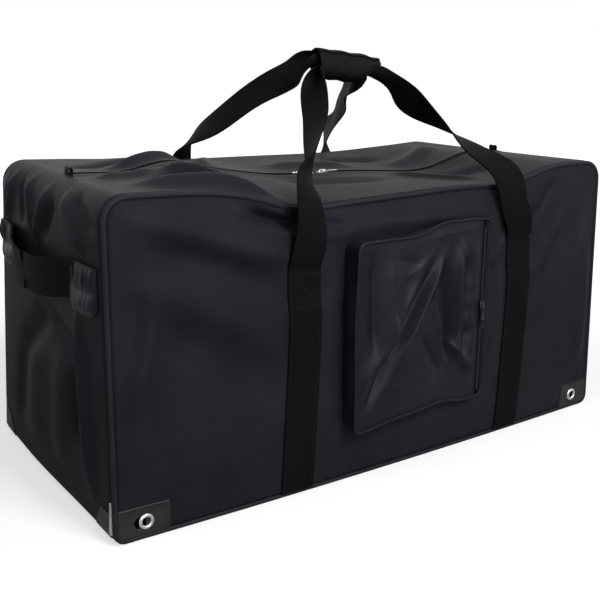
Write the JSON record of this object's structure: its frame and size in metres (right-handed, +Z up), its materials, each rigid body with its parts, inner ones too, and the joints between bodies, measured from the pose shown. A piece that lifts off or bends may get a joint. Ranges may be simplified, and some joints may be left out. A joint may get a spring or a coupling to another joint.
{
  "type": "hockey equipment bag",
  "caption": "Large box-shaped cloth equipment bag with a zipped top, piped panels, webbing carrying handles joined by a wrapped grip, end handles, an outside zip pocket and eyelets.",
  "frame": {"origin": "middle of the underside of the bottom panel, on the surface it stands on", "axes": "+X along the bag's length to the right seen from the front, -Y towards the front with the pocket, +Z up"},
  "size_m": [0.9746, 0.5019, 0.6237],
  "materials": {
    "shell_cloth": "coated woven polyester, low sheen",
    "pocket_cloth": "coated woven polyester, soft sheen",
    "piping": "cord covered in woven polyester",
    "coated_patch": "coated cloth, smooth satin",
    "webbing": "ribbed polypropylene webbing, matt",
    "grip_cloth": "woven cloth with hook and loop closing",
    "zip_tape": "woven tape, matt",
    "zip_coil": "moulded coil, satin",
    "zip_metal": "nickel plated, worn",
    "eyelet_nickel": "pressed, nickel plated"
  },
  "bodies": {
    "bag": {"front_panel": "shell_cloth", "back_panel": "shell_cloth", "left_end_panel": "shell_cloth", "right_end_panel": "shell_cloth", "bottom_panel": "shell_cloth", "front_piping": "piping", "back_piping": "piping", "front_left_patch": "coated_patch", "front_right_patch": "coated_patch", "back_left_patch": "coated_patch", "back_right_patch": "coated_patch", "eyelets": "eyelet_nickel", "front_left_strap": "webbing", "front_right_strap": "webbing", "back_left_strap": "webbing", "back_right_strap": "webbing", "left_handle_tabs": "webbing", "right_handle_tabs": "webbing", "left_zip_tab": "shell_cloth", "right_zip_tab": "shell_cloth", "pocket_face": "pocket_cloth", "pocket_gusset": "pocket_cloth", "pocket_piping": "piping", "pocket_zip_tape": "zip_tape", "pocket_zip_coil": "zip_coil"},
    "left_slider": {"left_zip_slider": "zip_metal"},
    "right_slider": {"right_zip_slider": "zip_metal"},
    "left_pull": {"left_zip_pull": "zip_metal"},
    "right_pull": {"right_zip_pull": "zip_metal"},
    "front_flap": {"top_front_flap": "shell_cloth", "zip_tape_front": "zip_tape", "zip_coil_front": "zip_coil"},
    "back_flap": {"top_back_flap": "shell_cloth", "zip_tape_back": "zip_tape", "zip_coil_back": "zip_coil"},
    "front_legs": {"front_handle_legs": "webbing"},
    "front_loop": {"front_handle_loop": "webbing", "grip_wrap": "grip_cloth"},
    "grip_cover": {"grip_flap": "grip_cloth"},
    "back_legs": {"back_handle_legs": "webbing"},
    "back_loop": {"back_handle_loop": "webbing"},
    "left_handle": {"left_end_handle": "webbing"},
    "right_handle": {"right_end_handle": "webbing"},
    "pocket_slider": {"pocket_zip_slider": "zip_metal"},
    "pocket_pull": {"pocket_zip_pull": "zip_metal"}
  },
  "joints": [
    {"name": "left_slider_run", "type": "slide", "parent": "bag", "child": "left_slider", "axis": [-0.9985, 0, 0.0554], "range_m": [0, 0.3655], "deforming": ["zip_tape_front", "zip_coil_front", "zip_tape_back", "zip_coil_back"]},
    {"name": "right_slider_run", "type": "slide", "parent": "bag", "child": "right_slider", "axis": [0.9985, 0, 0.0554], "range_m": [0, 0.3655], "deforming": ["zip_tape_front", "zip_coil_front", "zip_tape_back", "zip_coil_back"]},
    {"name": "front_flap_fold", "type": "hinge", "parent": "bag", "child": "front_flap", "pos_m": [0, -0.2187, 0.4175], "axis": [-1, 0, 0], "range_deg": [0, 80.5], "deforming": ["zip_tape_front", "zip_coil_front", "zip_tape_back", "zip_coil_back"]},
    {"name": "back_flap_fold", "type": "hinge", "parent": "bag", "child": "back_flap", "pos_m": [0, 0.2187, 0.4395], "axis": [1, 0, 0], "range_deg": [0, 80.5], "deforming": ["zip_tape_front", "zip_coil_front", "zip_tape_back", "zip_coil_back"]},
    {"name": "left_pull_turn", "type": "hinge", "parent": "left_slider", "child": "left_pull", "pos_m": [-0.015, 0, 0.436], "axis": [0, 1, 0], "range_deg": [0, 110]},
    {"name": "right_pull_turn", "type": "hinge", "parent": "right_slider", "child": "right_pull", "pos_m": [0.015, 0, 0.436], "axis": [0, -1, 0], "range_deg": [0, 110]},
    {"name": "front_handle_swing", "type": "hinge", "parent": "bag", "child": "front_legs", "pos_m": [0.03, -0.2288, 0.335], "axis": [1, 0, 0], "range_deg": [0, 140], "deforming": ["grip_wrap", "grip_flap"]},
    {"name": "front_handle_straighten", "type": "hinge", "parent": "front_legs", "child": "front_loop", "pos_m": [0.03, -0.2263, 0.459], "axis": [1, 0, 0], "range_deg": [0, 50.2], "deforming": ["grip_wrap", "grip_flap"]},
    {"name": "back_handle_swing", "type": "hinge", "parent": "bag", "child": "back_legs", "pos_m": [0.03, 0.2288, 0.335], "axis": [-1, 0, 0], "range_deg": [0, 140], "deforming": ["grip_wrap", "grip_flap"]},
    {"name": "back_handle_straighten", "type": "hinge", "parent": "back_legs", "child": "back_loop", "pos_m": [0.03, 0.2263, 0.459], "axis": [-1, 0, 0], "range_deg": [0, 53.2], "deforming": ["grip_wrap", "grip_flap"]},
    {"name": "grip_cover_peel", "type": "hinge", "parent": "front_loop", "child": "grip_cover", "pos_m": [0.047, -0.03869, 0.62065], "axis": [1, 0, 0], "range_deg": [0, 110]},
    {"name": "left_handle_lift", "type": "hinge", "parent": "bag", "child": "left_handle", "pos_m": [-0.46492, 0, 0.33825], "axis": [0, 1, 0], "range_deg": [0, 35]},
    {"name": "right_handle_lift", "type": "hinge", "parent": "bag", "child": "right_handle", "pos_m": [0.46492, 0, 0.33825], "axis": [0, -1, 0], "range_deg": [0, 35]},
    {"name": "pocket_slider_run", "type": "slide", "parent": "bag", "child": "pocket_slider", "axis": [0, 0, 1], "range_m": [-0.125, 0.11], "deforming": ["pocket_zip_coil"]},
    {"name": "pocket_pull_turn", "type": "hinge", "parent": "pocket_slider", "child": "pocket_pull", "pos_m": [0.15584, -0.25081, 0.235], "axis": [-0.9984, -0.0571, 0], "range_deg": [0, 110]}
  ],
  "couplings": [
    {"joint": "right_slider_run", "follows": "left_slider_run", "ratio": 1},
    {"joint": "front_flap_fold", "follows": "left_slider_run", "rad_per_m": 3.825},
    {"joint": "back_flap_fold", "follows": "left_slider_run", "rad_per_m": 3.825},
    {"joint": "front_handle_straighten", "follows": "front_handle_swing", "ratio": 0.357},
    {"joint": "back_handle_straighten", "follows": "back_handle_swing", "ratio": 0.378}
  ]
}
